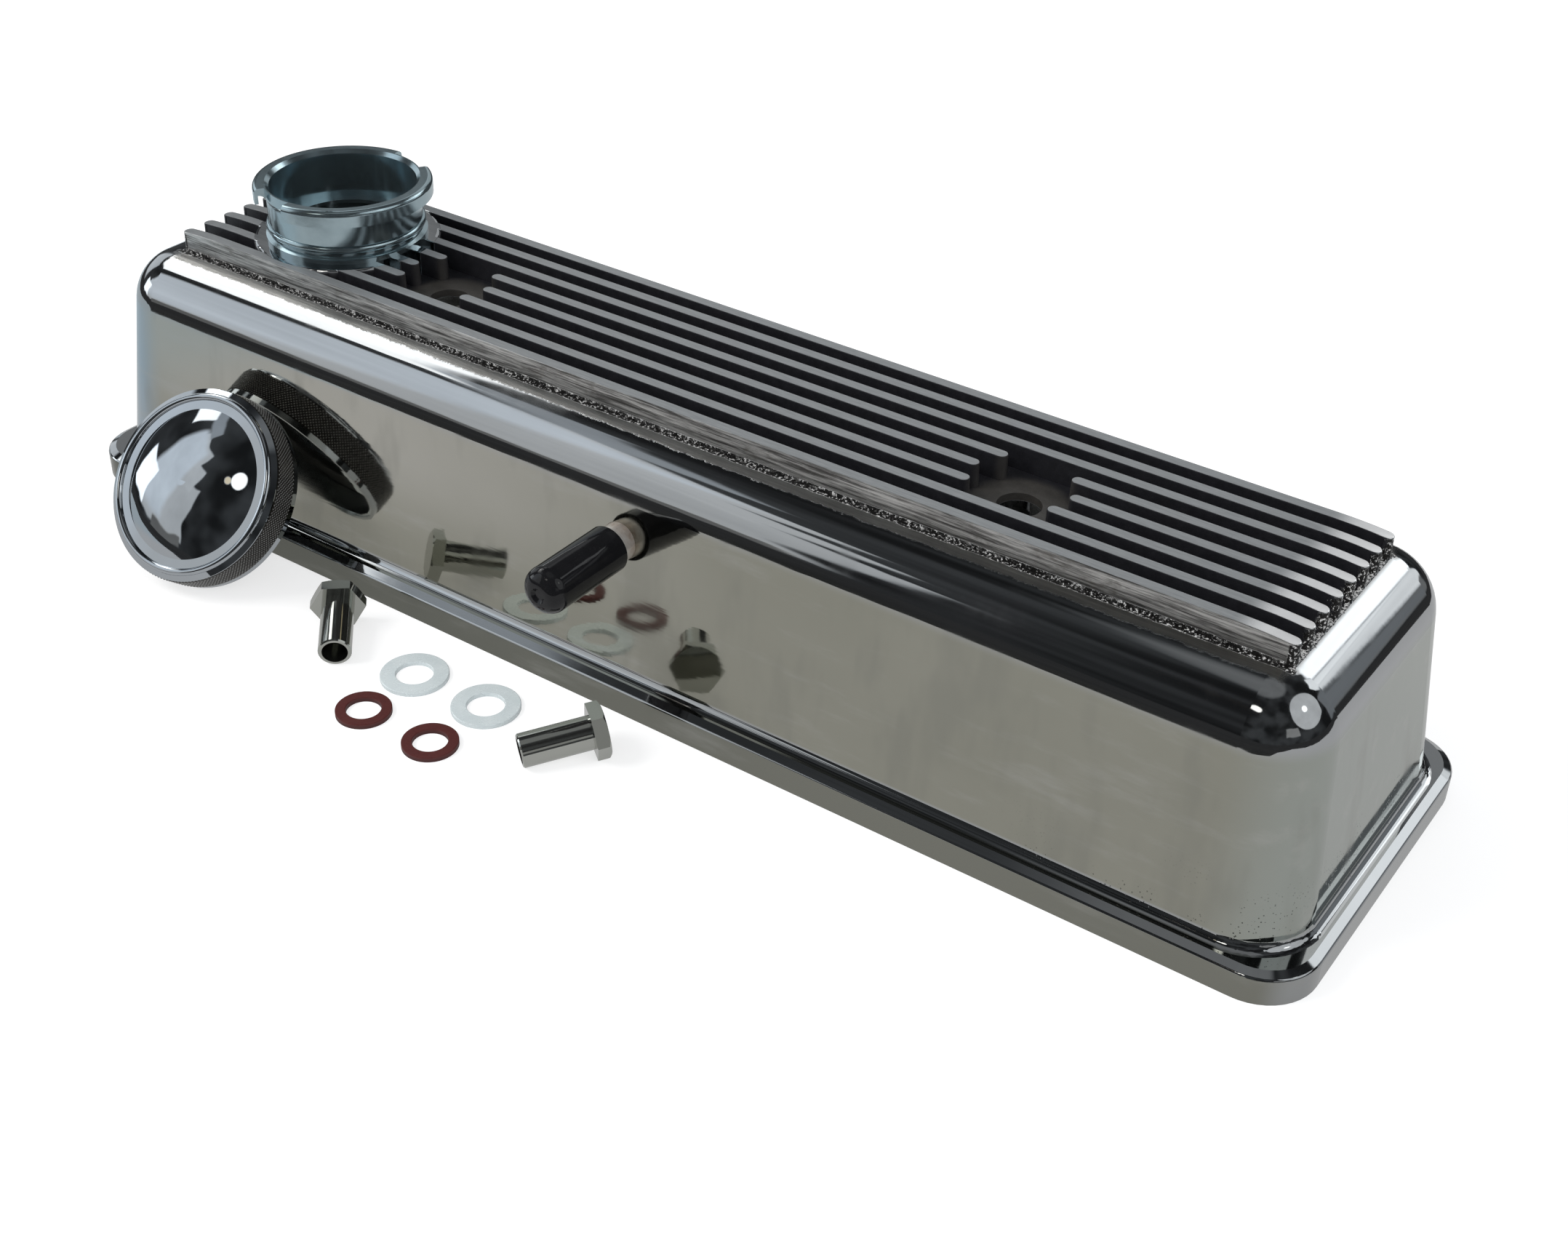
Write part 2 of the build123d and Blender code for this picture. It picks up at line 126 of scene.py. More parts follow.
class Graph:
    """Short calls for the nodes of one material, with its coordinates in millimetres."""

    def __init__(self, name):
        self.material = bpy.data.materials.new(name)
        self.material.use_nodes = True
        self.tree = self.material.node_tree
        self.tree.nodes.clear()
        self.output = self.tree.nodes.new("ShaderNodeOutputMaterial")
        place = self.tree.nodes.new("ShaderNodeTexCoord")
        self.facing = place.outputs["Normal"]
        self.place = self.vector("MULTIPLY", place.outputs["Object"], (1000, 1000, 1000))

    def node(self, kind, values=None, **settings):
        """A node of that kind. Values are set on its inputs, or linked if they are sockets."""
        made = self.tree.nodes.new("ShaderNode" + kind)
        for key, value in settings.items():
            setattr(made, key, value)
        for key, value in (values or {}).items():
            self.feed(made.inputs[key], value)
        return made

    def feed(self, socket, value):
        if isinstance(value, bpy.types.NodeSocket):
            self.tree.links.new(value, socket)
        else:
            socket.default_value = value

    def math(self, operation, a, b=0.0, add=0.0):
        return self.node("Math", {0: a, 1: b, 2: add}, operation=operation).outputs[0]

    def vector(self, operation, a, b=(0, 0, 0)):
        return self.node("VectorMath", {0: a, 1: b}, operation=operation).outputs[0]

    def times(self, *factors):
        """The product of several sockets or numbers."""
        result = factors[0]
        for factor in factors[1:]:
            result = self.math("MULTIPLY", result, factor)
        return result

    def total(self, *parts):
        """The sum of pairs of a socket and its share."""
        result = 0.0
        for socket, share in parts:
            result = self.math("MULTIPLY_ADD", socket, share, add=result)
        return result

    def split(self, vector):
        return self.node("SeparateXYZ", {0: vector}).outputs[:]

    def far_from(self, x, y):
        """Distance in millimetres from the upright line through x and y."""
        offset = self.vector("MULTIPLY", self.vector("SUBTRACT", self.place, (x, y, 0)), (1, 1, 0))
        return self.node("VectorMath", {0: offset}, operation="LENGTH").outputs["Value"]

    def ramp(self, value, low, high):
        """0 below low, 1 above high and smooth between. With low above high it falls instead."""
        made = self.node(
            "MapRange",
            {"Value": value, "From Min": low, "From Max": high},
            interpolation_type="SMOOTHSTEP",
        )
        return made.outputs["Result"]

    def between(self, value, low, high, soft):
        """1 between low and high, with soft edges outside them."""
        rising = self.ramp(value, low - soft, low)
        falling = self.ramp(value, high + soft, high)
        return self.times(rising, falling)

    def noise(self, size, detail=3.0, stretch=(1, 1, 1), rough=0.5, at=None):
        """Noise with features of about that size in millimetres, drawn out by stretch."""
        scaled = self.vector("DIVIDE", at or self.place, tuple(size * s for s in stretch))
        made = self.node(
            "TexNoise", {"Vector": scaled, "Scale": 1.0, "Detail": detail, "Roughness": rough}
        )
        return made.outputs["Fac"]

    def cells(self, size, stretch=(1, 1, 1)):
        """Distance to the nearest of scattered points that lie about size apart."""
        scaled = self.vector("DIVIDE", self.place, tuple(size * s for s in stretch))
        return self.node("TexVoronoi", {"Vector": scaled, "Scale": 1.0}).outputs["Distance"]

    def blend(self, factor, a, b):
        """Colour a where factor is 0 and colour b where it is 1."""
        made = self.node("Mix", data_type="RGBA")
        for index, value in ((0, factor), (6, a), (7, b)):
            if isinstance(value, tuple):
                value = (*value, 1.0)
            self.feed(made.inputs[index], value)
        return made.outputs[2]

    def lerp(self, factor, a, b):
        """Number a where factor is 0 and number b where it is 1."""
        return self.node("Mix", {0: factor, 2: a, 3: b}).outputs[0]

    def bump(self, height, depth, normal=None):
        """Relief that is depth millimetres high where height is 1."""
        values = {"Height": height, "Distance": depth * MM, "Strength": 1.0}
        if normal:
            values["Normal"] = normal
        return self.node("Bump", values).outputs["Normal"]

    def surface(self, colour, roughness, metallic, normal=None, **constants):
        """Ends the material in one Principled BSDF."""
        values = {
            "Base Color": (*colour, 1.0) if isinstance(colour, tuple) else colour,
            "Roughness": roughness,
            "Metallic": metallic,
        }
        if normal:
            values["Normal"] = normal
        for key, value in constants.items():
            values[key.replace("_", " ")] = value
        shader = self.node("BsdfPrincipled", values)
        self.tree.links.new(shader.outputs[0], self.output.inputs["Surface"])
        return self.material


def polished_casting():
    """Mirror-polished aluminium with painted valleys, satin ribs, rough strips and a raw inside."""
    g = Graph("polished_casting")
    x, y, z = g.split(g.place)
    facing_z = g.split(g.facing)[2]
    far_y = g.math("ABSOLUTE", y)

    # Height that takes the fall of the rib tips into account
    right_run = g.math("DIVIDE", g.math("SUBTRACT", x, RIB_RIGHT - RIB_TIP_RUN), RIB_TIP_RUN)
    left_run = g.math("DIVIDE", g.math("SUBTRACT", RIB_LEFT + RIB_TIP_RUN, x), RIB_TIP_RUN)
    run = g.math("MAXIMUM", g.math("MAXIMUM", right_run, left_run), 0.0)
    height = g.math("ADD", z, g.times(run, run, RIB_TIP_DROP))

    # Where the deck's finishes lie
    edge_wander = g.math("SUBTRACT", g.noise(3.0, 5.0, rough=0.7), 0.5)
    wandering_x = g.math("ADD", x, g.times(edge_wander, 9.0))
    wandering_y = g.math("ADD", far_y, g.times(edge_wander, 2.4))
    end_x = g.math("ADD", x, g.times(edge_wander, 3.0))
    along_ribs = g.between(wandering_x, RIB_LEFT - 0.6, RIB_RIGHT - 2.2, 0.4)
    on_ribs = g.between(x, RIB_LEFT - 0.5, RIB_RIGHT + 0.5, 0.2)
    off_boss = g.ramp(g.far_from(NECK_X, 0), BOSS_RADIUS - 0.5, BOSS_RADIUS - 0.2)
    above_deck = g.ramp(z, DECK - 2.5, DECK - 2.2)
    upward = g.ramp(facing_z, 0.84, 0.93)
    rib_top = g.times(g.ramp(height, RIB_TOP - 0.35, RIB_TOP - 0.2), off_boss, on_ribs, upward)
    inside_ribs = g.ramp(far_y, RIB_OUTER_CENTRE + 0.9, RIB_OUTER_CENTRE)
    paint = g.times(above_deck, inside_ribs, along_ribs, off_boss, g.math("SUBTRACT", 1.0, rib_top))
    outer_face = g.times(
        g.ramp(far_y, RIB_OUTER_CENTRE + 0.5, RIB_OUTER_CENTRE + 1.2),
        g.ramp(z, DECK + 0.1, DECK + 0.5),
        on_ribs,
        g.math("SUBTRACT", 1.0, rib_top),
    )
    strip = g.times(
        g.between(wandering_y, RIB_OUTER_CENTRE + 1.0, ROUGH_STRIP_EDGE - 0.4, 0.7),
        g.between(z, DECK - 1.6, DECK + 0.4, 0.2),
        g.ramp(x, RIB_RIGHT + 1.5, RIB_RIGHT - 3.0),
        g.ramp(x, RIB_LEFT - 1.5, RIB_LEFT + 3.0),
    )
    at_right_end = g.ramp(x, RIB_RIGHT - 2.6, RIB_RIGHT - 2.2)
    at_left_end = g.ramp(x, RIB_LEFT + 2.6, RIB_LEFT + 2.2)
    rib_ends = g.times(
        g.math("MAXIMUM", at_right_end, at_left_end),
        g.ramp(far_y, RIB_OUTER_CENTRE + 3.4, RIB_OUTER_CENTRE + 2.4),
        g.between(z, DECK + 0.5, RIB_TOP - 1.2, 0.2),
    )
    line_y = g.math("ADD", far_y, g.times(edge_wander, 1.2))
    base_line = g.times(
        g.between(line_y, RIB_OUTER_CENTRE + 2.1, RIB_OUTER_CENTRE + 3.5, 0.4),
        g.between(z, DECK - 0.5, DECK + 1.1, 0.2),
        on_ribs,
    )
    end_line = g.times(
        g.between(end_x, RIB_RIGHT - 2.2, RIB_RIGHT - 0.4, 0.3),
        g.between(z, DECK - 1.6, DECK + 0.5, 0.2),
        g.ramp(far_y, RIB_OUTER_CENTRE + 3.4, RIB_OUTER_CENTRE + 2.8),
    )
    rough_lines = g.math("MAXIMUM", g.math("MAXIMUM", base_line, end_line), rib_ends)

    # Inside of the shell, where faces look to its middle or down, and the sides of its flange
    flat_place = g.vector("MULTIPLY", g.place, (1, 1, 0))
    outward = g.node("VectorMath", {0: flat_place, 1: g.facing}, operation="DOT_PRODUCT")
    inward = g.ramp(outward.outputs["Value"], -2.0, -8.0)
    downward = g.ramp(facing_z, -0.5, -0.8)
    inside = g.times(g.math("MAXIMUM", inward, downward), g.ramp(z, DECK - 2.4, DECK - 2.6))
    outside = g.math("SUBTRACT", 1.0, inside)
    flange_side = g.times(g.ramp(z, FLANGE_SIDE_TOP + 0.3, FLANGE_SIDE_TOP), outside)

    # Colours, with painted light and painted reflection tints on the polished metal
    clouds = g.noise(38.0, 4.0, (1.6, 1, 1), 0.55)
    wisps = g.noise(9.0, 5.0, (5, 1, 1), 0.6)
    polished = g.blend(clouds, (0.323, 0.320, 0.269), (0.400, 0.394, 0.340))
    # Painted light: the polished wall is lighter towards the upper left
    bright = g.blend(clouds, (0.455, 0.447, 0.400), (0.535, 0.525, 0.480))
    painted_light_to_left = g.times(g.ramp(x, 60.0, -90.0), g.ramp(z, 20.0, 52.0))
    polished = g.blend(painted_light_to_left, polished, bright)
    # Painted reflection: the right end a little lighter and greener, the left end bluish
    polished = g.blend(g.ramp(x, 190.0, 214.0), polished, (0.400, 0.425, 0.394))
    polished = g.blend(g.ramp(x, -190.0, -204.0), polished, (0.410, 0.485, 0.544))
    polished = g.blend(g.times(g.ramp(wisps, 0.5, 0.8), 0.5), polished, (0.51, 0.51, 0.485))
    smears = g.ramp(g.noise(20.0, 3.0, (1, 1, 3), 0.6), 0.48, 0.68)
    polished = g.blend(g.times(smears, 0.35), polished, (0.27, 0.27, 0.24))
    # Painted reflection: the rounded shoulder and the fillet above the flange lighter and bluish
    rounded = g.math("MAXIMUM", g.ramp(z, 63.0, 68.0), g.ramp(z, 12.6, 11.4))
    clear = g.blend(clouds, (0.410, 0.422, 0.432), (0.490, 0.502, 0.512))
    polished = g.blend(rounded, polished, clear)
    grain = g.noise(0.5, 3.0, (14, 1, 1), 0.7)
    satin = g.blend(grain, (0.185, 0.195, 0.200), (0.42, 0.435, 0.445))
    # Rib tips at the right end: really polished, and painted near white as a painted highlight
    polished_tip_highlight = g.times(g.ramp(x, RIB_RIGHT - 18.0, RIB_RIGHT - 8.0), rib_top)
    streaks = g.noise(0.9, 5.0, (26, 1, 1), 0.75)
    blotches = g.noise(5.0, 4.0, (2.2, 1, 1), 0.7)
    brushed = g.blend(g.ramp(streaks, 0.35, 0.65), (0.13, 0.125, 0.12), (0.90, 0.885, 0.86))
    brushed = g.blend(g.times(g.ramp(blotches, 0.55, 0.72), 0.6), brushed, (0.20, 0.18, 0.16))
    rough_grain = g.noise(0.8, 3.0, (1, 1, 1), 0.75)
    # Bright specks on black, which are fewer at the ribs' ends and along their foot
    speck_limit = g.lerp(g.math("MAXIMUM", rib_ends, base_line), 0.48, 0.58)
    specks = g.ramp(g.math("SUBTRACT", rough_grain, speck_limit), -0.02, 0.03)
    cast = g.blend(specks, (0.012, 0.011, 0.010), (0.95, 0.94, 0.92))
    from_pad = g.math("MINIMUM", *(g.far_from(*stud) for stud in STUDS))
    pad = g.ramp(from_pad, PAD_RADIUS + 2.0, PAD_RADIUS - 2.0)
    paint_tone = g.blend(g.noise(2.5, 4.0), (0.008, 0.008, 0.010), (0.022, 0.022, 0.026))
    pad_tone = g.blend(g.noise(3.0, 4.0), (0.030, 0.028, 0.026), (0.060, 0.056, 0.050))
    paint_tone = g.blend(pad, paint_tone, pad_tone)
    raw = g.blend(g.noise(1.2, 5.0, (1, 1, 1), 0.7), (0.30, 0.30, 0.293), (0.52, 0.52, 0.505))
    strip_tone = g.blend(streaks, (0.13, 0.128, 0.122), (0.52, 0.51, 0.49))

    colour = g.blend(strip, polished, strip_tone)
    colour = g.blend(outer_face, colour, brushed)
    # Painted shade and light: the flange's side darker to the left and lighter at the right end,
    # with its own wisps
    flange_side_shaded_tone = g.blend(g.ramp(x, -110.0, 120.0), (0.178, 0.182, 0.158), (0.264, 0.264, 0.230))
    flange_side_shaded_tone = g.blend(g.ramp(x, 214.0, 222.0), flange_side_shaded_tone, (0.374, 0.383, 0.383))
    flange_side_shaded_tone = g.blend(g.times(g.ramp(wisps, 0.5, 0.8), 0.5), flange_side_shaded_tone, (0.408, 0.408, 0.383))
    colour = g.blend(flange_side, colour, flange_side_shaded_tone)
    colour = g.blend(rib_top, colour, satin)
    # Painted highlight on the polished rib tips
    colour = g.blend(polished_tip_highlight, colour, (0.95, 0.95, 0.95))
    colour = g.blend(rough_lines, colour, cast)
    colour = g.blend(paint, colour, paint_tone)
    colour = g.blend(inside, colour, raw)

    # Small dark pits near the front right corner and along the flange
    pit_zone = g.times(g.ramp(x, 120.0, 205.0), g.ramp(z, 34.0, 14.0), g.ramp(z, 10.0, 12.0))
    pit_chance = g.times(pit_zone, g.ramp(g.noise(14.0, 3.0), 0.45, 0.62), outside)
    pits = g.times(g.ramp(g.cells(1.1), 0.24, 0.14), pit_chance)
    colour = g.blend(g.times(pits, 0.75), colour, (0.06, 0.06, 0.058))

    # How rough and how metallic each finish is
    roughness = g.lerp(g.ramp(wisps, 0.35, 0.75), 0.035, 0.075)
    roughness = g.math("ADD", roughness, g.times(smears, 0.05))
    roughness = g.lerp(strip, roughness, 0.30)
    roughness = g.lerp(outer_face, roughness, 0.36)
    roughness = g.lerp(flange_side, roughness, 0.20)
    roughness = g.lerp(rib_top, roughness, g.lerp(grain, 0.32, 0.44))
    roughness = g.lerp(polished_tip_highlight, roughness, 0.16)
    roughness = g.lerp(rough_lines, roughness, 0.30)
    roughness = g.lerp(paint, roughness, 0.42)
    roughness = g.lerp(inside, roughness, 0.55)
    roughness = g.lerp(pits, roughness, 0.5)
    metallic = g.lerp(rib_top, 1.0, 0.45)
    metallic = g.lerp(polished_tip_highlight, metallic, 0.6)
    metallic = g.lerp(rough_lines, metallic, 0.35)
    metallic = g.lerp(paint, metallic, 0.0)

    # Relief: slow waves of hand polishing, grain, casting skin and pits, each with its height
    smooth_relief = g.total(
        (g.noise(26.0, 1.5, (1.6, 1, 1), 0.4), 0.07),
        (g.noise(5.0, 3.0, (12, 1, 1), 0.55), 0.028),
        (pits, -0.05),
    )
    calm = g.lerp(g.times(g.ramp(x, 198.0, 178.0), g.ramp(x, -202.0, -190.0)), 0.3, 1.0)
    relief = g.total(
        (g.times(smooth_relief, outside, calm), 1.0),
        (g.times(streaks, g.math("MAXIMUM", outer_face, strip)), 0.09),
        (g.times(grain, rib_top), 0.02),
        (g.times(rough_grain, rough_lines), 0.55),
        (g.times(g.noise(0.9, 5.0, rough=0.7), paint), 0.10),
        (g.times(g.noise(0.8, 5.0, rough=0.75), inside), 0.16),
    )
    normal = g.bump(relief, 1.0)
    return g.surface(colour, roughness, metallic, normal)


def zinc_plate(name, dark, light, roughness, metallic=1.0, specks=0.35, grain=0.004):
    """Bright zinc with a blue passivate, faint clouds, dull specks and a fine grain."""
    g = Graph(name)
    clouds = g.noise(6.0, 4.0, (1, 1, 1), 0.6)
    colour = g.blend(clouds, dark, light)
    spots = g.ramp(g.noise(0.45, 4.0, rough=0.8), 0.62, 0.72)
    colour = g.blend(g.times(spots, specks), colour, (0.30, 0.33, 0.35))
    rough = g.lerp(g.noise(2.0, 4.0), roughness, roughness + 0.10)
    normal = g.bump(g.noise(5.0, 2.0), 0.02)
    normal = g.bump(g.noise(0.35, 3.0), grain, normal)
    return g.surface(colour, rough, metallic, normal)


def dull_tube():
    """Dull plated steel with drawn lines round it and a warm stain where it enters the wall."""
    g = Graph("dull_tube")
    _, y, _ = g.split(g.place)
    rings = g.noise(0.5, 4.0, (40, 1, 40), 0.7)
    colour = g.blend(rings, (0.60, 0.57, 0.53), (0.98, 0.96, 0.92))
    stain = g.times(g.ramp(y, -56.5, -51.5), g.noise(1.5, 4.0))
    colour = g.blend(stain, colour, (0.30, 0.17, 0.09))
    normal = g.bump(rings, 0.012)
    return g.surface(colour, g.lerp(rings, 0.26, 0.40), 0.6, normal)


def chrome_plate(name, tone, roughness=0.03, metallic=1.0):
    """Chrome with slow waves in the pressing under it and a few specks of dust."""
    g = Graph(name)
    clouds = g.noise(12.0, 3.0)
    colour = g.blend(clouds, tuple(0.93 * c for c in tone), tone)
    dust = g.ramp(g.noise(0.5, 3.0, rough=0.7), 0.70, 0.78)
    colour = g.blend(g.times(dust, 0.4), colour, (0.35, 0.34, 0.33))
    normal = g.bump(g.noise(14.0, 1.5), 0.06)
    return g.surface(colour, g.lerp(dust, roughness, 0.25), metallic, normal)


def knurled_steel():
    """Knurl of the filler cap: chromed tips, with painted shade that makes the grooves near black.
    """
    g = Graph("knurled_steel")
    centre, _, _, axis = cap_axes()
    arm = g.vector("SUBTRACT", g.place, tuple(centre / MM))
    across = g.vector("CROSS_PRODUCT", arm, tuple(axis))
    radius = g.node("VectorMath", {0: across}, operation="LENGTH").outputs["Value"]
    tips = g.ramp(radius, CAP_RADIUS + 0.10, CAP_RADIUS + 0.27)
    clouds = g.noise(4.0, 4.0)
    tip_tone = g.blend(clouds, (0.24, 0.24, 0.235), (0.38, 0.38, 0.37))
    # Painted shade: the grooves between the tips near black
    colour = g.blend(tips, (0.018, 0.016, 0.014), tip_tone)
    grime = g.ramp(g.noise(1.6, 5.0, rough=0.7), 0.54, 0.70)
    colour = g.blend(g.times(grime, 0.5), colour, (0.05, 0.043, 0.036))
    return g.surface(colour, g.lerp(clouds, 0.22, 0.34), 0.4, g.bump(clouds, 0.02))


def black_vinyl():
    """Glossy dip-moulded vinyl with a slightly uneven skin, fine scuffs and dust."""
    g = Graph("black_vinyl")
    scuffs = g.ramp(g.noise(0.7, 4.0, (1, 9, 1), 0.7), 0.58, 0.70)
    dust = g.ramp(g.noise(0.30, 2.0, rough=0.6), 0.72, 0.76)
    colour = g.blend(g.noise(4.0, 2.0), (0.006, 0.006, 0.007), (0.012, 0.012, 0.013))
    colour = g.blend(g.times(dust, 0.5), colour, (0.16, 0.16, 0.155))
    normal = g.bump(g.noise(5.0, 2.0, (1, 2.5, 1)), 0.10)
    normal = g.bump(g.noise(0.8, 3.0), 0.006, normal)
    roughness = g.lerp(scuffs, 0.06, 0.16)
    return g.surface(colour, roughness, 0.0, normal, Specular_IOR_Level=0.3)


def red_fibre():
    """Vulcanised fibre: dark red, matt, with a fine mottle of fibres."""
    g = Graph("red_fibre")
    fibres = g.noise(0.5, 5.0, (1.8, 1, 1), 0.75)
    mottle = g.noise(3.0, 4.0, (1, 1, 1), 0.6)
    colour = g.blend(fibres, (0.045, 0.007, 0.006), (0.130, 0.022, 0.020))
    colour = g.blend(g.ramp(mottle, 0.45, 0.7), colour, (0.095, 0.018, 0.015))
    # Painted shade: darker towards the bottom, where the washer meets the floor
    _, _, z = g.split(g.place)
    edge = g.ramp(z, 1.25, 0.6)
    colour = g.blend(g.times(edge, 0.5), colour, (0.035, 0.008, 0.008))
    normal = g.bump(fibres, 0.03)
    return g.surface(colour, g.lerp(mottle, 0.48, 0.62), 0.0, normal)


def black_rubber():
    """Matt black rubber with a fine skin."""
    g = Graph("black_rubber")
    skin = g.noise(0.6, 4.0)
    colour = g.blend(skin, (0.012, 0.012, 0.012), (0.030, 0.030, 0.029))
    return g.surface(colour, g.lerp(skin, 0.55, 0.70), 0.0, g.bump(skin, 0.02))


def dress(node, material):
    """Gives a CAD node its material."""
    for slot in nodes[node].material_slots:
        slot.material = material


def mesh_piece(name, vertices, faces, material, body="cover"):
    """A mesh that rides on a body, with the given material in its slot."""
    mesh = bpy.data.meshes.new(name)
    mesh.from_pydata([tuple(v) for v in vertices], [], faces)
    mesh.materials.append(material)
    mesh.update()
    piece = bpy.data.objects.new(name, mesh)
    bpy.context.scene.collection.objects.link(piece)
    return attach(piece, body)


def cap_axes():
    """Centre of the filler cap's mouth and its axes, worked out from where its shell lies."""
    lean, heading = radians(CAP_LEAN), radians(CAP_HEADING)
    side = Vector((cos(heading), sin(heading), 0))
    axis = Vector((0, 0, -cos(lean))).cross(side) + Vector((0, 0, sin(lean)))
    low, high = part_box("cap_shell")
    centre_z = low.z + CAP_RADIUS * MM * cos(lean)
    # The mouth's rim is the part of the shell that lies furthest back
    reach_y = CAP_RADIUS * MM * (1 - axis.y**2) ** 0.5
    reach_x = CAP_RADIUS * MM * (1 - axis.x**2) ** 0.5
    centre = Vector((low.x + reach_x, high.y - reach_y, centre_z))
    return centre, side, axis.cross(side), axis


def cap_knurl(material):
    """Diamond knurl rolled round the filler cap's skirt."""
    centre, side, up, axis = cap_axes()
    vertices, faces = [], []
    low_radius = CAP_RADIUS + KNURL_LIFT
    columns = 2 * KNURL_AROUND
    levels = 2 * KNURL_ROWS

    def point(column, level):
        turn = tau * column / columns
        peak = (column + level) % 2 and 0 < level < levels
        radius = (low_radius + (KNURL_HEIGHT if peak else 0.0)) * MM
        along = (KNURL_LOW + (KNURL_HIGH - KNURL_LOW) * level / levels) * MM
        return centre + axis * along + (side * cos(turn) + up * sin(turn)) * radius

    for level in range(levels + 1):
        for column in range(columns):
            vertices.append(point(column, level))

    def index(column, level):
        return level * columns + column % columns

    for level in range(levels):
        for column in range(columns):
            a, b = index(column, level), index(column + 1, level)
            c, d = index(column + 1, level + 1), index(column, level + 1)
            # Each square is cut along its peaks' side, so that four facets meet at a point
            if (column + level) % 2:
                faces += [(a, b, d), (b, c, d)]
            else:
                faces += [(a, b, c), (a, c, d)]
    return mesh_piece("cap_knurl", vertices, faces, material)


def flat_sheet(name, x_range, y_range, height, material):
    """A level rectangle at that height in metres."""
    (left, right), (near, far) = x_range, y_range
    mesh = bpy.data.meshes.new(name)
    corners = [(x, y, height) for x, y in ((left, near), (right, near), (right, far), (left, far))]
    mesh.from_pydata(corners, [], [(0, 1, 2, 3)])
    mesh.materials.append(material)
    sheet = bpy.data.objects.new(name, mesh)
    bpy.context.scene.collection.objects.link(sheet)
    return sheet


def build_floor():
    """Pale floor that looks white to the camera and in metal, and keeps a soft shadow."""
    g = Graph("pale_floor")
    light_path = g.node("LightPath").outputs
    mirrored = g.math("MAXIMUM", light_path["Is Glossy Ray"], light_path["Is Transmission Ray"])
    seen = g.math("MAXIMUM", light_path["Is Camera Ray"], mirrored)
    matt = g.node("BsdfDiffuse", {"Color": (0.86, 0.86, 0.85, 1.0)}).outputs[0]
    x, y, _ = g.split(g.place)
    # Under the casting's hollow the floor doesn't glow, so that the inside stays in shade
    under = g.times(
        g.between(x, -CAVITY_END, CAVITY_END, 6.0), g.between(y, -CAVITY_SIDE, CAVITY_SIDE, 6.0)
    )
    strength = g.lerp(under, g.lerp(mirrored, SEEN_FLOOR, MIRRORED_FLOOR), 0.0)
    tint = g.blend(g.times(mirrored, g.ramp(x, -240.0, -330.0)), (1.0, 1.0, 1.0), (0.80, 0.93, 1.0))
    glow = g.node("Emission", {"Color": tint, "Strength": strength}).outputs[0]
    tone = g.blend(mirrored, (0.50, 0.50, 0.50), (0.14, 0.14, 0.14))
    faint = g.node("BsdfDiffuse", {"Color": tone}).outputs[0]
    shown = g.node("AddShader", {0: glow, 1: faint}).outputs[0]
    mixed = g.node("MixShader", {0: seen, 1: matt, 2: shown}).outputs[0]
    g.tree.links.new(mixed, g.output.inputs["Surface"])
    across = (-FLOOR_REACH, FLOOR_REACH)
    flat_sheet("floor", across, across, 0, g.material)


def only_in_reflections(obj):
    """A board that polished metal mirrors and that neither the camera nor soft light sees."""
    obj.visible_camera = False
    obj.visible_diffuse = False
    obj.visible_shadow = False
    obj.visible_transmission = False


def dome_pattern():
    """Glow of the studio round the object, by compass angle and height above the floor.

    Angles are in degrees. The compass starts at the front and turns to the left.
    """
    g = Graph("studio_dome")
    toward = g.vector("NORMALIZE", g.place)
    x, y, z = g.split(toward)
    turn = g.math("ARCTAN2", g.times(x, -1.0), g.times(y, -1.0))
    turn = g.math("MODULO", g.math("ADD", g.times(turn, 180 / pi), 360.0), 360.0)
    lift = g.times(g.math("ARCSINE", z), 180 / pi)
    wander = g.math("SUBTRACT", g.noise(1500.0, 1.5), 0.5)
    sway = g.math("SUBTRACT", g.noise(1200.0, 1.5, (1, 1, 2)), 0.5)
    turn = g.math("ADD", turn, g.times(wander, 8.0))
    lift = g.math("ADD", lift, g.times(sway, 6.0))
    glow = g.lerp(g.ramp(g.noise(1600.0, 1.5), 0.35, 0.7), *BACKGROUND_GLOW)
    warmth = BACKGROUND_WARMTH
    for start, end, low, high, soft, strength, warm in DOME_PATCHES:
        patch = g.times(g.between(turn, start, end, soft), g.between(lift, low, high, soft))
        glow = g.lerp(patch, glow, strength)
        warmth = g.lerp(patch, warmth, warm)
    for bearing, rise, size, strength, warm in DOME_LAMPS:
        aside, over = radians(bearing), radians(rise)
        centre = (-sin(aside) * cos(over), -cos(aside) * cos(over), sin(over))
        near = g.node("VectorMath", {0: toward, 1: centre}, operation="DOT_PRODUCT")
        near = near.outputs["Value"]
        lamp = g.ramp(near, cos(radians(size + LAMP_EDGE)), cos(radians(size)))
        glow = g.lerp(lamp, glow, strength)
        warmth = g.lerp(lamp, warmth, warm)
    shade = g.lerp(g.noise(1000.0, 2.0), 0.80, 1.20)
    colour = g.blend(g.ramp(warmth, 0.0, 0.5), (0.84, 0.92, 1.0), (1.0, 1.0, 0.98))
    colour = g.blend(g.ramp(warmth, 0.5, 1.0), colour, (1.0, 0.86, 0.62))
    strength = g.times(glow, shade, STUDIO_LEVEL)
    light = g.node("Emission", {"Color": colour, "Strength": strength}).outputs[0]
    g.tree.links.new(light, g.output.inputs["Surface"])
    return g.material


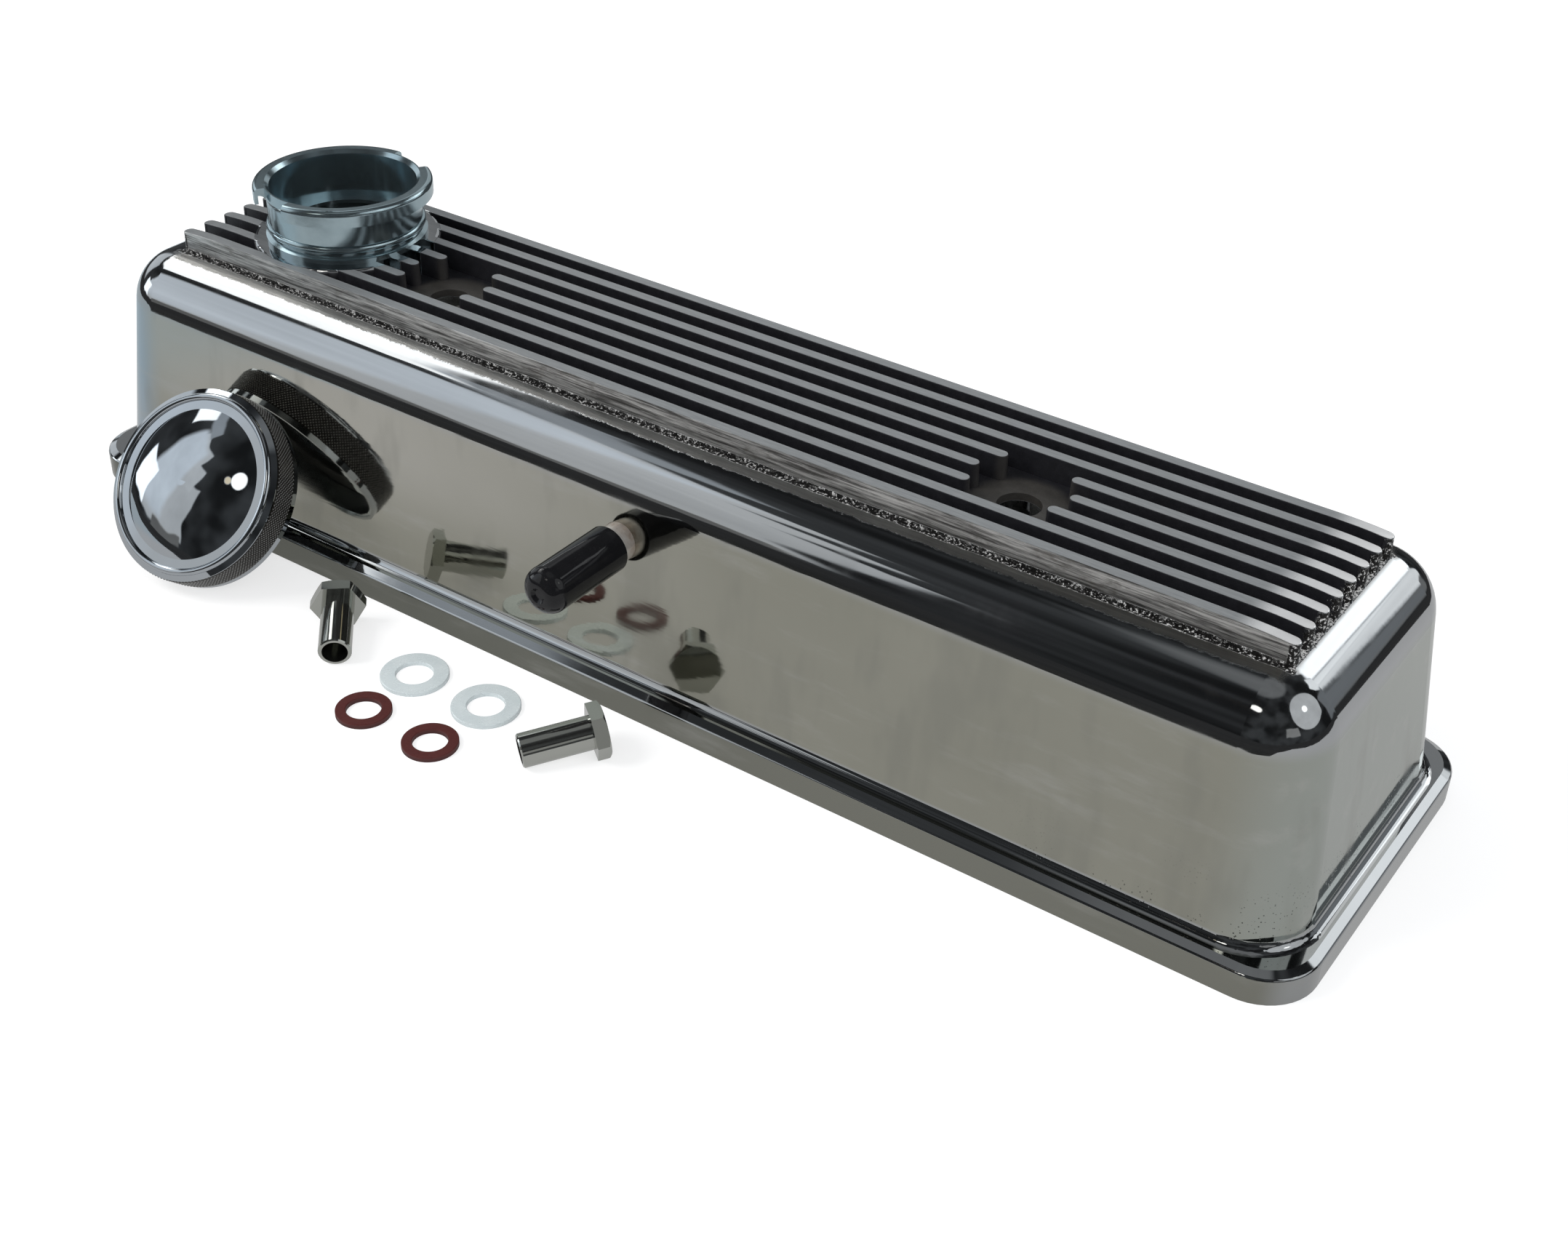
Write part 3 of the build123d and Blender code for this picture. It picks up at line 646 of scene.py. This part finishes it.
def build_dome():
    """A light tent with dark and bright fields, which give the polished metal its bands."""
    radius, low, columns, rows = 5.0, -4.0, 72, 24
    vertices, faces = [(0.0, 0.0, radius)], []
    for row in range(rows):
        lift = radians(low + (90.0 - low) * row / rows)
        for column in range(columns):
            turn = tau * column / columns
            vertices.append(
                (radius * cos(lift) * cos(turn), radius * cos(lift) * sin(turn), radius * sin(lift))
            )
    for column in range(columns):
        after = (column + 1) % columns
        for row in range(rows - 1):
            lower = 1 + row * columns
            upper = lower + columns
            faces.append((lower + column, lower + after, upper + after, upper + column))
        top = 1 + (rows - 1) * columns
        faces.append((top + column, top + after, 0))
    mesh = bpy.data.meshes.new("studio_dome")
    mesh.from_pydata(vertices, [], faces)
    mesh.materials.append(dome_pattern())
    dome = bpy.data.objects.new("studio_dome", mesh)
    bpy.context.scene.collection.objects.link(dome)
    only_in_reflections(dome)


def build_surroundings():
    """Dome over the object, and dark ground where its white sheet of paper ends."""
    build_dome()
    g = Graph("dark_ground")
    tone = g.blend(g.noise(160.0, 4.0), (0.040, 0.042, 0.045), (0.105, 0.105, 0.105))
    light = g.node("Emission", {"Color": tone, "Strength": STUDIO_LEVEL}).outputs[0]
    g.tree.links.new(light, g.output.inputs["Surface"])
    across, sheet_depth = (-GROUND_REACH, GROUND_REACH), (SHEET_FRONT, SHEET_BACK)
    boards = {
        "ground_front": (across, (-GROUND_REACH, SHEET_FRONT)),
        "ground_back": (across, (SHEET_BACK, GROUND_REACH)),
        "ground_left": ((-GROUND_REACH, SHEET_LEFT), sheet_depth),
        "ground_right": ((SHEET_RIGHT, GROUND_REACH), sheet_depth),
    }
    for name, (x_range, y_range) in boards.items():
        only_in_reflections(flat_sheet(name, x_range, y_range, GROUND_LIFT, g.material))


def area_light(name, place, target, size, watts, colour):
    data = bpy.data.lights.new(name, "AREA")
    data.shape = "RECTANGLE"
    data.size, data.size_y = size
    data.energy = watts
    data.color = colour
    lamp = bpy.data.objects.new(name, data)
    lamp.location = place
    lamp.rotation_euler = (Vector(target) - Vector(place)).to_track_quat("-Z", "Y").to_euler()
    lamp.visible_camera = False
    lamp.visible_glossy = False
    bpy.context.scene.collection.objects.link(lamp)


def build_lights():
    """Soft white surroundings and two large soft lamps."""
    world = bpy.data.worlds.new("studio")
    bpy.context.scene.world = world
    world.use_nodes = True
    tree = world.node_tree
    tree.nodes.clear()
    path = tree.nodes.new("ShaderNodeLightPath").outputs
    camera_or_glossy = tree.nodes.new("ShaderNodeMath")
    camera_or_glossy.operation = "MAXIMUM"
    tree.links.new(path["Is Camera Ray"], camera_or_glossy.inputs[0])
    tree.links.new(path["Is Glossy Ray"], camera_or_glossy.inputs[1])
    seen = tree.nodes.new("ShaderNodeMath")
    seen.operation = "MAXIMUM"
    tree.links.new(camera_or_glossy.outputs[0], seen.inputs[0])
    tree.links.new(path["Is Transmission Ray"], seen.inputs[1])
    soft = tree.nodes.new("ShaderNodeBackground")
    soft.inputs["Color"].default_value = (0.95, 0.97, 1.0, 1.0)
    soft.inputs["Strength"].default_value = SOFT_LIGHT
    white = tree.nodes.new("ShaderNodeBackground")
    white.inputs["Color"].default_value = (1.0, 1.0, 1.0, 1.0)
    white.inputs["Strength"].default_value = 1.0
    mixed = tree.nodes.new("ShaderNodeMixShader")
    tree.links.new(seen.outputs[0], mixed.inputs[0])
    tree.links.new(soft.outputs[0], mixed.inputs[1])
    tree.links.new(white.outputs[0], mixed.inputs[2])
    output = tree.nodes.new("ShaderNodeOutputWorld")
    tree.links.new(mixed.outputs[0], output.inputs["Surface"])
    area_light("key", (-0.9, -0.9, 1.2), (0, 0, 0.04), (0.9, 0.7), 14.0, (1.0, 0.99, 0.97))
    area_light("fill", (1.2, -0.4, 1.0), (0, 0, 0.04), (1.0, 1.0), 6.0, (0.96, 0.98, 1.0))


def build_camera():
    data = bpy.data.cameras.new("camera")
    data.sensor_fit = "HORIZONTAL"
    data.sensor_width = 36.0
    data.lens = CAMERA_LENS
    data.clip_start, data.clip_end = 0.01, 50.0
    camera = bpy.data.objects.new("camera", data)
    forward = CAMERA_FORWARD.normalized()
    right = (CAMERA_RIGHT - forward * CAMERA_RIGHT.dot(forward)).normalized()
    up = right.cross(forward)
    turn = Matrix((right, up, -forward)).transposed().to_4x4()
    camera.matrix_world = Matrix.Translation(CAMERA_PLACE) @ turn
    bpy.context.scene.collection.objects.link(camera)
    bpy.context.scene.camera = camera
    bpy.context.scene.view_settings.view_transform = "Standard"


def dress_nodes():
    """Materials of the CAD nodes."""
    neck_zinc = zinc_plate("neck_zinc", (0.33, 0.43, 0.47), (0.47, 0.58, 0.62), 0.10, 0.95)
    # Plain washers: light zinc, painted lighter still and barely metallic as a painted sheen
    washer_sheen_tones = (0.64, 0.72, 0.74), (0.82, 0.88, 0.89)
    washer_zinc_and_sheen = zinc_plate("washer_zinc_and_sheen", *washer_sheen_tones, 0.22, 0.15, 0.0, 0.001)
    nut_chrome = chrome_plate("nut_chrome", (0.48, 0.49, 0.455), 0.07, 0.98)
    fibre = red_fibre()
    dress(CASTING, polished_casting())
    dress("filler_neck", neck_zinc)
    dress("vent_tube", dull_tube())
    dress("vent_tube_cap", black_vinyl())
    dress("cap_shell", chrome_plate("cap_chrome", (0.48, 0.51, 0.54)))
    ring_zinc = zinc_plate("ring_zinc", (0.66, 0.72, 0.76), (0.82, 0.87, 0.90), 0.16)
    dress("cap_lock_ring", ring_zinc)
    dress("cap_seal", black_rubber())
    for side in ("left", "right"):
        dress(f"sleeve_nut_{side}", nut_chrome)
        dress(f"plain_washer_{side}", washer_zinc_and_sheen)
        dress(f"fibre_washer_{side}", fibre)


build_camera()
build_lights()
build_surroundings()
build_floor()
dress_nodes()
cap_knurl(knurled_steel())
